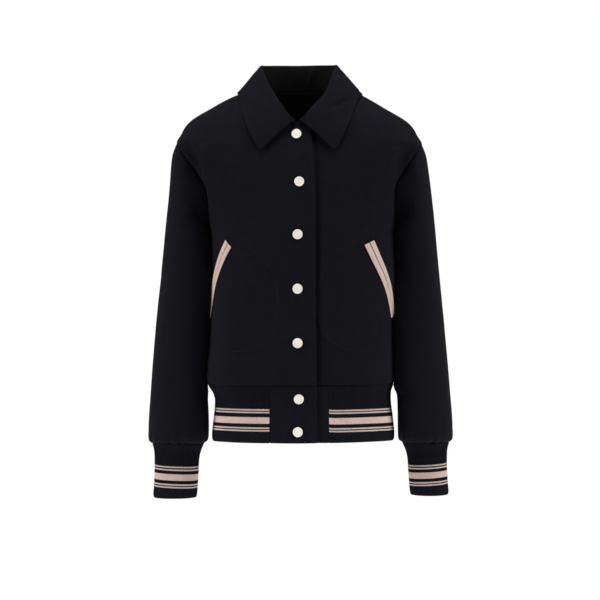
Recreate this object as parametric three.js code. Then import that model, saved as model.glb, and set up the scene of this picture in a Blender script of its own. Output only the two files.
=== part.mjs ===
// A snap-front bomber jacket as it hangs on a wearer's shoulders, hollow and open at neck, hem and cuffs.
// Millimetres, +Z up. The origin lies midway between the two high shoulder points, where the wearer holds it.
// -Y is the front, +X is the wearer's left. The right front laps over the left one.
import * as THREE from "three";

// Cloth and seams
const clothWall = 2.4;
const ribWall = 3;
const seamGap = 0.45;
const lapStep = 1.8; // each front moves this far, out or in, where the two overlap
const tabLapStep = 2.1; // and each hem tab this far

// Heights of the main lines
const neckTopZ = 1;
const neckFrontZ = -60;
const armholeTopZ = -86;
const underarmZ = -230;
const bodyHemZ = -474;

// Half width of the neck hole at the shoulders, and how its line curves down to the front
const neckHalfWidth = 80;
const neckCurve = 1.1;

// Where the tabs end and the striped rib of the hem starts, either side of the centre front
const rightTabEndX = 44;
const leftTabEndX = 49;
const underLapX = 20; // how far the left front runs on under the right one
const lapFlat = 30; // the fronts keep their full step this far from the centre
const bodyLapFade = 60;
const tabLapFade = 43;

// The body in level rings: half width, depth in front of and behind the shoulder line, squareness
const bodyRings = [
  { z: -474, half: 147.5, front: 118, back: 110, square: 2.6 },
  { z: -463, half: 153, front: 124.5, back: 116, square: 2.6 },
  { z: -440, half: 152.5, front: 127, back: 118, square: 2.6 },
  { z: -400, half: 151, front: 128.5, back: 118, square: 2.6 },
  { z: -340, half: 148.8, front: 130, back: 117, square: 2.6 },
  { z: -290, half: 147.6, front: 130.5, back: 118, square: 2.6 },
  { z: -230, half: 148, front: 129.5, back: 120, square: 2.5 },
  { z: -200, half: 153, front: 127.5, back: 121.5, square: 2.45 },
  { z: -175, half: 160, front: 125, back: 121.5, square: 2.4 },
  { z: -152, half: 170, front: 122, back: 120.5, square: 2.4 },
  { z: -130, half: 183, front: 118, back: 118.5, square: 2.35 },
  { z: -113, half: 193, front: 114.5, back: 116, square: 2.3 },
  { z: -100, half: 198.5, front: 111, back: 114, square: 2.3 },
  { z: -86, half: 198.5, front: 107, back: 111, square: 2.3 },
  { z: -74, half: 191.5, front: 103, back: 108, square: 2.3 },
  { z: -62, half: 185, front: 98.5, back: 104.5, square: 2.25 },
  { z: -52, half: 176, front: 92.5, back: 101, square: 2.2 },
  { z: -42, half: 161.5, front: 86, back: 97, square: 2.15 },
  { z: -32, half: 143.5, front: 77.5, back: 92, square: 2.1 },
  { z: -22, half: 126.5, front: 68, back: 85, square: 2.05 },
  { z: -13, half: 110, front: 58, back: 76, square: 2 },
  { z: -5, half: 93, front: 49, back: 67, square: 2 },
  { z: 1, half: 80, front: 42, back: 61, square: 2 },
];

// Distance of the armhole seam from the middle, by height
const armholeSeam = [
  { z: -230, x: 148 },
  { z: -200, x: 148.5 },
  { z: -175, x: 152.5 },
  { z: -152, x: 161 },
  { z: -130, x: 173.5 },
  { z: -113, x: 184.5 },
  { z: -100, x: 192.5 },
  { z: -86, x: 198.5 },
];

// The cloth folds in beside the armhole: where the trough runs, and how deep it is
const armpitFold = [
  { z: -222, x: 148, depth: 0 },
  { z: -190, x: 149, depth: 8 },
  { z: -158, x: 153, depth: 13 },
  { z: -122, x: 163, depth: 14 },
  { z: -104, x: 172, depth: 9 },
  { z: -92, x: 180, depth: 2 },
  { z: -84, x: 186, depth: 0 },
];
const armpitFoldWidth = 12;
const backFoldShare = 0.6; // the fold behind the arm is this much as deep as the one in front

// Front edge of the right front past the centre line, by height
const lapEdge = [
  { z: -563, x: 28.5 },
  { z: -474, x: 27.5 },
  { z: -300, x: 27 },
  { z: -180, x: 24 },
  { z: -60, x: 19 },
];

// A sleeve in slanting rings: its outer and inner line seen from the front, and from the side
// the middle of its depth and half that depth
const sleeveRings = [
  { outerX: 205.5, outerZ: -108, innerX: 151.5, innerZ: -236, middle: 0, depth: 60 },
  { outerX: 210, outerZ: -146, innerX: 152, innerZ: -248, middle: 0, depth: 65 },
  { outerX: 213.5, outerZ: -182, innerX: 152.5, innerZ: -264, middle: -1, depth: 66 },
  { outerX: 217, outerZ: -220, innerX: 152.5, innerZ: -286, middle: -2, depth: 65 },
  { outerX: 220.5, outerZ: -262, innerX: 152.5, innerZ: -314, middle: -4, depth: 63 },
  { outerX: 225, outerZ: -306, innerX: 153, innerZ: -344, middle: -7, depth: 61 },
  { outerX: 230, outerZ: -352, innerX: 154, innerZ: -378, middle: -10, depth: 59 },
  { outerX: 234.5, outerZ: -400, innerX: 155.5, innerZ: -416, middle: -12.5, depth: 57 },
  { outerX: 238.5, outerZ: -448, innerX: 157, innerZ: -456, middle: -14.5, depth: 55.5 },
  { outerX: 241.5, outerZ: -492, innerX: 156, innerZ: -496, middle: -16, depth: 54.5 },
  { outerX: 244, outerZ: -528, innerX: 153.5, innerZ: -528, middle: -16.5, depth: 54 },
  { outerX: 244.5, outerZ: -552, innerX: 152.5, innerZ: -552, middle: -17, depth: 52 },
  { outerX: 243, outerZ: -564, innerX: 154, innerZ: -564, middle: -17, depth: 48 },
  { outerX: 240, outerZ: -568.5, innerX: 158, innerZ: -568.5, middle: -17, depth: 42 },
];
const sleeveSquare = 2.2;

// A cuff in level rings
const cuffRings = [
  { z: -569, outer: 239.5, inner: 159, middle: -17, depth: 41 },
  { z: -580, outer: 236.5, inner: 164, middle: -17, depth: 37 },
  { z: -594, outer: 235.6, inner: 167.5, middle: -17, depth: 35 },
  { z: -618, outer: 235.8, inner: 169, middle: -17, depth: 34.5 },
  { z: -640, outer: 237, inner: 170.5, middle: -17, depth: 35 },
  { z: -652, outer: 238, inner: 171.5, middle: -17, depth: 35.5 },
  { z: -656, outer: 237, inner: 172.5, middle: -17, depth: 34.5 },
];
const cuffSquare = 2.1;

// The hem band in level rings, pulled in under the body and flaring down to its edge
const hemRings = [
  { z: -474.6, half: 144.5, front: 117, back: 108.5, square: 2.6 },
  { z: -482, half: 141.6, front: 116.5, back: 107, square: 2.6 },
  { z: -500, half: 141.8, front: 117.5, back: 107.5, square: 2.6 },
  { z: -525, half: 144.5, front: 119.5, back: 109.5, square: 2.6 },
  { z: -550, half: 147.2, front: 121, back: 111, square: 2.6 },
  { z: -560, half: 147, front: 121, back: 111, square: 2.6 },
  { z: -563, half: 145.8, front: 120, back: 110, square: 2.6 },
];

// The collar by angle round the neck, 0 at the centre front and 180 at the nape:
// its roll line and the outer edge of its fall
const collarRolls = [
  { angle: 3, rollX: 5, rollY: -107, rollZ: -56, edgeX: 62, edgeY: -115.5, edgeZ: -104 },
  { angle: 14, rollX: 14, rollY: -103.5, rollZ: -46, edgeX: 67, edgeY: -110.5, edgeZ: -90 },
  { angle: 30, rollX: 30, rollY: -89, rollZ: -22, edgeX: 75, edgeY: -102.5, edgeZ: -70 },
  { angle: 50, rollX: 46, rollY: -62, rollZ: 6, edgeX: 84, edgeY: -82, edgeZ: -43 },
  { angle: 70, rollX: 55, rollY: -30, rollZ: 28, edgeX: 94, edgeY: -38, edgeZ: -10 },
  { angle: 90, rollX: 58, rollY: 0, rollZ: 38.5, edgeX: 99.5, edgeY: 2, edgeZ: -4 },
  { angle: 112, rollX: 53.5, rollY: 25, rollZ: 40.5, edgeX: 94, edgeY: 40, edgeZ: -8 },
  { angle: 140, rollX: 38.5, rollY: 47, rollZ: 41, edgeX: 68, edgeY: 71, edgeZ: -14 },
  { angle: 180, rollX: 0, rollY: 58, rollZ: 41.5, edgeX: 0, edgeY: 89, edgeZ: -18 },
];
const collarWall = 2.6;
const collarRollRadius = 4.4;
const collarBow = 2.5; // how far the fall bows outward between roll and edge

// The pocket mouth, by height and angle round the body from the side to the front
const pocketMouths = {
  right: [
    { z: -364, around: 15.5 },
    { z: -320, around: 24 },
    { z: -283, around: 35.5 },
    { z: -251, around: 45.7 },
  ],
  left: [
    { z: -364, around: 21.5 },
    { z: -320, around: 32 },
    { z: -283, around: 40.5 },
    { z: -251, around: 46.5 },
  ],
};
const lipWidth = 8.4;
const lipHeight = 1.7;
const lipLift = 0.7;
const mouthWidth = 0.8;

// Snap caps down the centre front
const snaps = [
  { x: -2, z: -79.5 },
  { x: 2.4, z: -155 },
  { x: -0.3, z: -237.5 },
  { x: -0.3, z: -322.5 },
  { x: -0.8, z: -406.5 },
  { x: 1.5, z: -494 },
  { x: -0.3, z: -545.5 },
];
const snapRadius = 7.7;
const snapHeight = 3.2;
const snapRim = 1.1;

const navyWool = { color: 0x16161f, roughness: 0.92, metalness: 0 };
const navyRib = { color: 0x14141c, roughness: 0.95, metalness: 0 };
const paleRib = { color: 0xb8a598, roughness: 0.95, metalness: 0 };
const snapEnamel = { color: 0xf1ece4, roughness: 0.35, metalness: 0 };

const crowding = 1.4; // how much closer the body's columns stand at its sides than at its middle

const group = new THREE.Group();
const degrees = THREE.MathUtils.degToRad;

// A column of a table at a key, on a smooth curve through its rows, which run upward in that key.
function along(rows, key, column, at) {
  const last = rows.length - 1;
  const here = Math.min(Math.max(at, rows[0][key]), rows[last][key]);
  let i = 0;
  while (i < last - 1 && rows[i + 1][key] < here) i += 1;
  const slopeAt = (k) => {
    const before = rows[Math.max(k - 1, 0)];
    const after = rows[Math.min(k + 1, last)];
    return (after[column] - before[column]) / (after[key] - before[key]);
  };
  const span = rows[i + 1][key] - rows[i][key];
  const t = (here - rows[i][key]) / span;
  const start = rows[i][column];
  const rise = rows[i + 1][column] - start;
  const leave = slopeAt(i) * span;
  const arrive = slopeAt(i + 1) * span;
  const bend = 3 * rise - 2 * leave - arrive;
  const twist = leave + arrive - 2 * rise;
  return start + leave * t + bend * t ** 2 + twist * t ** 3;
}

const mix = (from, to, t) => from + (to - from) * t;
const spread = (from, to, count) => Array.from({ length: count }, (_, i) => mix(from, to, i / (count - 1)));
// The same, closer together towards the far end
const crowded = (from, to, count) => spread(0, 1, count).map((t) => mix(to, from, (1 - t) ** crowding));
const mirrored = (point) => new THREE.Vector3(-point.x, point.y, point.z);

// A point of a squared-off oval. The angle runs from -90 at the front through 0 at the side
// to 90 at the back.
function ovalPoint(half, front, back, square, angle) {
  const across = Math.cos(degrees(angle));
  const forward = Math.sin(degrees(angle));
  const reach = (Math.abs(across) ** square + Math.abs(forward) ** square) ** (-1 / square);
  const depth = forward < 0 ? front : back;
  return new THREE.Vector2(half * reach * across, depth * reach * forward);
}

function ringPoint(rings, z, angle) {
  const at = (column) => along(rings, "z", column, z);
  const flat = ovalPoint(at("half"), at("front"), at("back"), at("square"), angle);
  return new THREE.Vector3(flat.x, flat.y, z);
}

// A point of the body, with the fold beside the armhole.
function bodyPoint(z, angle) {
  const point = ringPoint(bodyRings, z, angle);
  const offCentre = (Math.abs(point.x) - along(armpitFold, "z", "x", z)) / armpitFoldWidth;
  const depth = along(armpitFold, "z", "depth", z) * Math.exp(-(offCentre ** 2));
  point.y += point.y < 0 ? depth : -depth * backFoldShare;
  return point;
}

// The angle at which a ring crosses a distance from the middle, as a size without its front or back sign.
function angleAtX(rings, z, x) {
  const half = along(rings, "z", "half", z);
  const square = along(rings, "z", "square", z);
  const ratio = Math.max((half / Math.max(Math.abs(x), 0.01)) ** square - 1, 0);
  return THREE.MathUtils.radToDeg(Math.atan2(ratio ** (1 / square), Math.sign(x) || 1));
}

// The outward direction of a grid at one of its points, from the differences either side of it.
function gridNormal(grid, i, j, closed) {
  const columns = grid[0].length;
  const right = closed ? (j + 1) % columns : Math.min(j + 1, columns - 1);
  const left = closed ? (j + columns - 1) % columns : Math.max(j - 1, 0);
  const upward = grid[Math.min(i + 1, grid.length - 1)][j].clone().sub(grid[Math.max(i - 1, 0)][j]);
  const sideways = grid[i][right].clone().sub(grid[i][left]);
  return sideways.cross(upward).normalize();
}

// A closed wall between an outer grid of points and the same grid moved inward by the cloth's thickness.
function wallGeometry(grid, thickness, closed = false) {
  const rows = grid.length;
  const columns = grid[0].length;
  const inner = grid.map((row, i) =>
    row.map((point, j) => point.clone().addScaledVector(gridNormal(grid, i, j, closed), -thickness)),
  );
  const points = [...grid.flat(), ...inner.flat()];
  const faces = [];
  const quad = (a, b, c, d) => faces.push(a, b, c, a, c, d);
  const outside = (i, j) => i * columns + (j % columns);
  const inside = (i, j) => rows * columns + outside(i, j);
  const lastColumn = closed ? columns : columns - 1;
  for (let i = 0; i < rows - 1; i += 1) {
    for (let j = 0; j < lastColumn; j += 1) {
      quad(outside(i, j), outside(i, j + 1), outside(i + 1, j + 1), outside(i + 1, j));
      quad(inside(i, j), inside(i + 1, j), inside(i + 1, j + 1), inside(i, j + 1));
    }
    if (!closed) {
      quad(outside(i, 0), outside(i + 1, 0), inside(i + 1, 0), inside(i, 0));
      const end = lastColumn;
      quad(outside(i + 1, end), outside(i, end), inside(i, end), inside(i + 1, end));
    }
  }
  for (let j = 0; j < lastColumn; j += 1) {
    quad(outside(0, j + 1), outside(0, j), inside(0, j), inside(0, j + 1));
    quad(outside(rows - 1, j), outside(rows - 1, j + 1), inside(rows - 1, j + 1), inside(rows - 1, j));
  }
  const geometry = new THREE.BufferGeometry().setFromPoints(points);
  geometry.setIndex(faces);
  geometry.computeVertexNormals();
  return geometry;
}

function addPiece(name, geometry, finish) {
  const piece = new THREE.Mesh(geometry, new THREE.MeshStandardMaterial(finish));
  piece.name = name;
  group.add(piece);
  return piece;
}

// A wall on the wearer's left, or its mirror image on the right, whose columns are reversed to face out.
function addSidedWall(name, grid, thickness, finish, onRight, closed = false) {
  const placed = onRight ? grid.map((row) => row.map(mirrored).reverse()) : grid;
  return addPiece(name, wallGeometry(placed, thickness, closed), finish);
}

// ---- Body: two fronts and a back ----
const neckHeight = neckTopZ - neckFrontZ;
const neckX = (z) => neckHalfWidth * Math.sqrt(Math.max(1 - ((neckTopZ - z) / neckHeight) ** neckCurve, 0));
const sideRows = [bodyHemZ, -463, -440, -395, -345, -290, underarmZ];
const armholeRows = [-211, -190, -170, -150, -131, -114, -101, -93, -88, armholeTopZ];
const shoulderRows = [-74, -61.5];
const neckRows = [neckFrontZ, -56, -47, -36, -25, -15, -7, -1];

// The angle where a panel ends at the side: the side seam, the armhole or the shoulder seam.
function outerAngle(z) {
  if (z <= underarmZ || z >= armholeTopZ) return 0;
  return angleAtX(bodyRings, z, along(armholeSeam, "z", "x", z));
}

// A front on the wearer's left. It stands out by a step where the fronts lap, which fades out sideways,
// and stops short of the side and shoulder seams.
function frontGrid({ rings, rows, pointAt, innerX, outer, columns, step, fade }) {
  return rows.map((z) => {
    const inner = angleAtX(rings, z, innerX(z));
    return crowded(-inner, -outer(z), columns).map((angle) => {
      const point = pointAt(z, angle);
      point.y = Math.min(point.y, -seamGap) - lapShift(point.x, step, fade);
      return point;
    });
  });
}

// How far the cloth stands out at a distance from the centre line, from a full step to none.
function lapShift(x, step, fade) {
  return step * (1 - THREE.MathUtils.smoothstep(x, lapFlat, fade));
}

const rightLap = (z) => along(lapEdge, "z", "x", z);
const leftLap = () => underLapX;
const frontInnerX = (lap) => (z) => (z >= neckFrontZ ? neckX(z) : -lap(z));
const frontRows = [...sideRows, ...armholeRows, ...shoulderRows, ...neckRows];
const bodyFront = { rings: bodyRings, pointAt: bodyPoint, rows: frontRows };
const frontShape = { ...bodyFront, outer: outerAngle, columns: 12, fade: bodyLapFade };

const rightFront = frontGrid({ ...frontShape, innerX: frontInnerX(rightLap), step: lapStep });
const leftFront = frontGrid({ ...frontShape, innerX: frontInnerX(leftLap), step: -lapStep });
addSidedWall("front_right", rightFront, clothWall, navyWool, true);
addSidedWall("front_left", leftFront, clothWall, navyWool, false);

// A grid that runs round the back from one side to the other.
function roundTheBack(leftHalf, rightHalf = leftHalf) {
  return leftHalf.map((row, i) => [...row, ...rightHalf[i].slice(0, -1).reverse().map(mirrored)]);
}

const backRows = [...frontRows.slice(0, -1), neckTopZ];
const backHalf = backRows.map((z) =>
  crowded(90, outerAngle(z), 10).reverse().map((angle) => {
    const point = bodyPoint(z, angle);
    point.y = Math.max(point.y, seamGap);
    return point;
  }),
);
addPiece("back", wallGeometry(roundTheBack(backHalf), clothWall), navyWool);

// ---- Sleeves and cuffs ----
const tubeAngles = (count) => Array.from({ length: count }, (_, j) => (360 * j) / count - 180);

// The armhole by angle, 0 at its top and -90 at its front, moved off the body by the seam gap.
function armholePoint(angle) {
  const middle = (armholeTopZ + underarmZ) / 2;
  const z = middle + (armholeTopZ - middle) * Math.cos(degrees(angle));
  const x = along(armholeSeam, "z", "x", z);
  const towards = angle < 0 ? -1 : 1;
  const point = bodyPoint(z, towards * angleAtX(bodyRings, z, x));
  point.x += seamGap * 3;
  point.z -= seamGap * 3;
  return point;
}

function sleevePoint({ outerX, outerZ, innerX, innerZ, middle, depth }, angle) {
  const flat = ovalPoint(1, depth, depth, sleeveSquare, angle);
  const outward = (1 + flat.x) / 2;
  const x = mix(innerX, outerX, outward);
  return new THREE.Vector3(x, middle + flat.y, mix(innerZ, outerZ, outward));
}

function cuffPoint({ z, outer, inner, middle, depth }, angle) {
  const flat = ovalPoint((outer - inner) / 2, depth, depth, cuffSquare, angle);
  return new THREE.Vector3((outer + inner) / 2 + flat.x, middle + flat.y, z);
}

const sleeveAngles = tubeAngles(18);
const sleeveGrid = [
  ...sleeveRings.map((ring) => sleeveAngles.map((angle) => sleevePoint(ring, angle))).reverse(),
  sleeveAngles.map(armholePoint),
];
const cuffGrid = cuffRings.map((ring) => tubeAngles(16).map((angle) => cuffPoint(ring, angle))).reverse();
for (const side of ["right", "left"]) {
  addSidedWall(`sleeve_${side}`, sleeveGrid, clothWall, navyWool, side === "right", true);
  addSidedWall(`cuff_${side}`, cuffGrid, ribWall, navyRib, side === "right", true);
}

// ---- Hem band: a plain tab at each front edge, and the striped rib round the back between them ----
const hemRows = hemRings.map((ring) => ring.z).reverse();
const hemTable = [...hemRings].reverse();
const hemPoint = (z, angle) => ringPoint(hemTable, z, angle);
const hemAngle = (z, x) => angleAtX(hemTable, z, x);
const tabShape = { rings: hemTable, pointAt: hemPoint, rows: hemRows, columns: 5, fade: tabLapFade };

const rightTab = frontGrid({
  ...tabShape,
  innerX: (z) => -rightLap(z),
  outer: (z) => hemAngle(z, rightTabEndX),
  step: tabLapStep,
});
const leftTab = frontGrid({
  ...tabShape,
  innerX: () => -underLapX,
  outer: (z) => hemAngle(z, leftTabEndX),
  step: -tabLapStep,
});
addSidedWall("hem_tab_right", rightTab, ribWall, navyWool, true);
addSidedWall("hem_tab_left", leftTab, ribWall, navyWool, false);

const ribHalf = (tabEndX) =>
  hemRows.map((z) => {
    const start = -hemAngle(z, tabEndX + seamGap * 2.5);
    return spread(start, 90, 14).map((angle) => hemPoint(z, angle));
  });
const ribGrid = roundTheBack(ribHalf(leftTabEndX), ribHalf(rightTabEndX));
addPiece("hem_rib", wallGeometry(ribGrid, ribWall), navyRib);

// ---- Collar: one wall that stands up from the neck seam, rolls over and falls to its edge ----
// The neck seam by angle, 0 at the centre front and 180 at the nape.
function neckPoint(angle) {
  if (angle >= 90) return bodyPoint(neckTopZ, angle - 90);
  const x = neckHalfWidth * Math.sin(degrees(angle));
  const z = neckTopZ - neckHeight * Math.cos(degrees(angle)) ** (2 / neckCurve);
  return bodyPoint(z, -angleAtX(bodyRings, z, x));
}

// One section of the collar, from the neck seam over the roll to the edge of the fall.
function collarSection(angle) {
  const at = (column) => along(collarRolls, "angle", column, angle);
  const seam = neckPoint(angle);
  const roll = new THREE.Vector3(at("rollX"), at("rollY"), at("rollZ"));
  const edge = new THREE.Vector3(at("edgeX"), at("edgeY"), at("edgeZ"));
  const up = roll.clone().sub(seam).normalize();
  const base = seam.clone().addScaledVector(up, seamGap * 2.5);
  base.y -= angle < 90 ? lapShift(seam.x, lapStep + seamGap, bodyLapFade) : 0;
  const fall = edge.clone().sub(roll);
  const out = fall.clone().addScaledVector(up, -fall.dot(up)).normalize();
  const bowed = (t) => {
    const point = roll.clone().lerp(edge, t).addScaledVector(out, collarRollRadius * 0.9 * (1 - t));
    return point.addScaledVector(up, collarBow * Math.sin(Math.PI * t));
  };
  const shoulder = Math.min(collarRollRadius, roll.distanceTo(base) * 0.45);
  return [
    base,
    base.clone().lerp(roll, 0.45),
    roll.clone().addScaledVector(up, -shoulder).addScaledVector(out, -shoulder * 0.15),
    roll.clone().addScaledVector(out, collarRollRadius * 0.2).addScaledVector(up, -0.4),
    roll.clone().addScaledVector(out, collarRollRadius * 0.95).addScaledVector(up, -0.6),
    bowed(0.2),
    bowed(0.5),
    bowed(0.78),
    edge,
  ];
}

const collarAngles = [3, 10, 19, 31, 45, 60, 75, 90, 106, 123, 141, 160, 180];
const leftSections = collarAngles.map(collarSection).reverse();
const rightSections = leftSections.slice(1).reverse().map((section) => section.map(mirrored));
const collarSections = [...rightSections, ...leftSections];
const collarGrid = collarSections[0].map((_, i) => collarSections.map((section) => section[i]));
addPiece("collar", wallGeometry(collarGrid, collarWall), navyWool);

// ---- Pocket welts: two rib lips on each front, either side of the mouth ----
// A point on a front, a distance sideways from the line of a pocket's mouth and a distance off the cloth.
function mouthPoint(mouth, z, sideways, off) {
  const angleAt = (height) => -along(mouth, "z", "around", height);
  const angle = angleAt(z);
  const here = bodyPoint(z, angle);
  const further = bodyPoint(z, angle + 1).sub(here);
  const higher = bodyPoint(z + 1, angle).sub(here);
  const normal = further.clone().cross(higher).normalize();
  const below = Math.max(z - 1, mouth[0].z);
  const above = Math.min(z + 1, mouth.at(-1).z);
  const path = bodyPoint(above, angleAt(above)).sub(bodyPoint(below, angleAt(below)));
  const side = path.cross(normal).normalize();
  const ringStep = sideways * side.dot(further.clone().normalize());
  const moved = bodyPoint(z + sideways * side.z, angle + ringStep / further.length());
  return moved.addScaledVector(normal, off);
}

const lipShare = 0.5; // part of a lip's height that is its edge
const lipAcross = [0, 0.16, 0.5, 0.84, 1];
const lipRowCount = 10;

function lipGrid(mouth, towards) {
  const near = (mouthWidth / 2) * towards;
  const far = (mouthWidth / 2 + lipWidth) * towards;
  const [start, end] = towards > 0 ? [near, far] : [far, near];
  return spread(mouth[0].z, mouth.at(-1).z, lipRowCount).map((z) =>
    lipAcross.map((t) => {
      const crown = 1 - (2 * t - 1) ** 4;
      return mouthPoint(mouth, z, mix(start, end, t), lipLift + lipHeight * mix(lipShare, 1, crown));
    }),
  );
}

for (const side of ["right", "left"]) {
  for (const [lip, towards] of [["front", -1], ["side", 1]]) {
    const name = `pocket_${side}_${lip}_lip`;
    addSidedWall(name, lipGrid(pocketMouths[side], towards), lipHeight * lipShare, paleRib, side === "right");
  }
}

// ---- Snap caps on the right front and its tab ----
const snapOutline = [
  [0, 0],
  [snapRadius - 0.6, 0],
  [snapRadius, 0.7],
  [snapRadius, 1.7],
  [snapRadius - 0.5, 2.3],
  [snapRadius - snapRim, 2.5],
  [snapRadius - snapRim - 0.7, 2.2],
  [snapRadius * 0.45, 2.9],
  [0, snapHeight],
].map(([radius, height]) => new THREE.Vector2(radius, height));

snaps.forEach(({ x, z }, i) => {
  const onTab = z < bodyHemZ;
  const rings = onTab ? hemTable : bodyRings;
  const angle = -angleAtX(rings, z, -x);
  const foot = ringPoint(rings, z, angle);
  const above = ringPoint(rings, z + 4, angle).sub(ringPoint(rings, z - 4, angle));
  const beside = ringPoint(rings, z, angle + 2).sub(ringPoint(rings, z, angle - 2));
  const outward = beside.cross(above).normalize();
  foot.y -= onTab ? tabLapStep : lapStep;
  const cap = addPiece(`snap_${i + 1}`, new THREE.LatheGeometry(snapOutline, 14), snapEnamel);
  cap.quaternion.setFromUnitVectors(new THREE.Vector3(0, 1, 0), mirrored(outward));
  cap.position.copy(mirrored(foot.addScaledVector(outward, seamGap * 1.5)));
});

export default group;
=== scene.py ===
# The looks of a hollow, snap-front bomber jacket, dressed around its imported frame.
# Shapes are in millimetres, +Z up, the front towards -Y, +X the wearer's left. Finishes and the studio
# are in metres.
import bpy
import numpy as np
from mathutils import Euler, Matrix, Vector


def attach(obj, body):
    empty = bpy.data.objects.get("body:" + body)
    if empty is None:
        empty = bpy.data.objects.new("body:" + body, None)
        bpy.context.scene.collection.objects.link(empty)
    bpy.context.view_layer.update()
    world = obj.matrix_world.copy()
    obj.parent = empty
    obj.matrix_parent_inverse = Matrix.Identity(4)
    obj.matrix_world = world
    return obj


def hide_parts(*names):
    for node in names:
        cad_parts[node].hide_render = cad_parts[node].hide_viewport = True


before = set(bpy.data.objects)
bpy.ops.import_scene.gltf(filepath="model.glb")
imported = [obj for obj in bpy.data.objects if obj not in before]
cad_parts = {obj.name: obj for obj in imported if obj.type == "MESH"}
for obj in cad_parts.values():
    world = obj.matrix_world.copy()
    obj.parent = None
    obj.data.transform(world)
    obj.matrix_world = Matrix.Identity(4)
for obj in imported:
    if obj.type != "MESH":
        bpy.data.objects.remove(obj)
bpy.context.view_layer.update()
metre = 0.001  # one millimetre in metres
print("frame loaded with", len(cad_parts), "nodes")


def table(names, *rows):
    # the columns of a table by name
    return dict(zip(names.split(), np.array(rows, float).T))


def through(keys, values, at):
    # a cubic between neighbouring rows, whose slope at each row comes from the rows either side
    slopes = np.empty_like(values)
    gaps = (keys[2:] - keys[:-2]).reshape((-1,) + (1,) * (values.ndim - 1))
    slopes[1:-1] = (values[2:] - values[:-2]) / gaps
    slopes[0] = (values[1] - values[0]) / (keys[1] - keys[0])
    slopes[-1] = (values[-1] - values[-2]) / (keys[-1] - keys[-2])
    here = np.clip(at, keys[0], keys[-1])
    i = np.clip(np.searchsorted(keys, here) - 1, 0, len(keys) - 2)
    span = keys[i + 1] - keys[i]
    t = (here - keys[i]) / span
    if values.ndim > 1:
        shape = t.shape + (1,) * (values.ndim - 1)
        t, span = t.reshape(shape), span.reshape(shape)
    rise = values[i + 1] - values[i]
    leave, arrive = slopes[i] * span, slopes[i + 1] * span
    return values[i] + leave * t + (3 * rise - 2 * leave - arrive) * t**2 + (leave + arrive - 2 * rise) * t**3


def along(rows, key, column, at):
    return through(rows[key], rows[column], np.asarray(at, float))


def smooth(x, low, high):
    # 0 below low, 1 above high, an S between
    t = np.clip((x - low) / (high - low), 0, 1)
    return t * t * (3 - 2 * t)


def bell(distance, width):
    return np.exp(-((distance / width) ** 2))


def unit(vectors):
    return vectors / np.maximum(np.linalg.norm(vectors, axis=-1, keepdims=True), 1e-9)


def walkedAlong(points):
    # the distance along a path, or along the columns of a grid on average
    steps = np.linalg.norm(np.diff(points, axis=0), axis=-1)
    if steps.ndim > 1:
        steps = steps.mean(axis=1)
    return np.concatenate([[0], np.cumsum(steps)])


def evenly(control, count):
    # a smooth curve through the control points, read at even steps of that distance
    keys = walkedAlong(control)
    return through(keys, control, np.linspace(0, keys[-1], count))


def closedUp(grid, closed):
    # a tube's grid with its first column again at its end
    return np.concatenate([grid, grid[:, :1]], axis=1) if closed else grid


def gridCells(rows, columns, closed):
    # the four corners of every cell as rows and columns, and as point numbers
    i, j = np.meshgrid(np.arange(rows - 1), np.arange(columns if closed else columns - 1), indexing="ij")
    corners = [(i, j), (i, j + 1), (i + 1, j + 1), (i + 1, j)]
    return corners, np.stack([a * columns + b % columns for a, b in corners], axis=-1).reshape(-1, 4)


cloth = {
    "wall": 2.4, "ribWall": 3.0, "collarWall": 2.6, "seamGap": 0.45,
    "lapStep": 1.8, "tabLapStep": 2.1, "lapFlat": 30, "bodyLapFade": 60, "tabLapFade": 43,
    "crowding": 1.4, "foldWidth": 12, "foldBehind": 0.6, "shoulderTilt": 2.3,
    # where the sway and the tilt start and are full, off the middle and down from the origin
    "swaySides": (85, 150), "swayFade": (172, 236), "swayDrop": (105, 190),
    "tiltSides": (82, 140), "tiltDrop": (95, 165),
    # a wall's rounded edge, as shares of its thickness inward and outward; a jump in its map, in metres
    "rim": ((0.16, 0.3), (0.5, 0.44), (0.84, 0.3)), "mapJump": 0.02,
}

# level rings of the body, from the hem seam up to the neck: half width, depth before and behind, squareness
bodyRings = table(
    "z half front back square",
    (-474, 150.5, 121, 113, 2.6), (-472, 152.4, 123, 114.8, 2.6), (-467, 153.4, 124.8, 116.2, 2.6),
    (-440, 152.5, 127, 118, 2.6),
    (-400, 151, 128.5, 118, 2.6), (-340, 148.8, 130, 117, 2.6), (-290, 147.6, 130.5, 118, 2.6),
    (-230, 148, 129.5, 120, 2.5), (-200, 153, 127.5, 121.5, 2.45), (-175, 160, 125, 121.5, 2.4),
    (-152, 170, 122, 120.5, 2.4), (-130, 183, 118, 118.5, 2.35), (-113, 193, 114.5, 116, 2.3),
    (-100, 198.5, 111, 114, 2.3), (-86, 198.5, 107, 111, 2.3), (-74, 191.5, 103, 108, 2.3),
    (-62, 185, 98.5, 104.5, 2.25), (-52, 176, 92.5, 101, 2.2), (-42, 161.5, 86, 97, 2.15),
    (-32, 143.5, 77.5, 92, 2.1), (-22, 126.5, 68, 85, 2.05), (-13, 110, 58, 76, 2),
    (-5, 93, 49, 67, 2), (1, 80, 42, 61, 2),
)
armholeSeam = table(
    "z x", (-230, 148), (-200, 147), (-175, 148.5), (-158, 152.5), (-145, 160),
    (-130, 170.5), (-113, 183), (-100, 191.5), (-86, 198.5),
)
armpitFold = table(
    "z x depth", (-222, 148, 0), (-190, 149, 8), (-158, 153, 13), (-122, 163, 14),
    (-104, 172, 9), (-92, 180, 2), (-84, 186, 0),
)
lapEdge = table("z x", (-563, 28.5), (-474, 27.5), (-300, 27), (-180, 26), (-60, 21))


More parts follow.
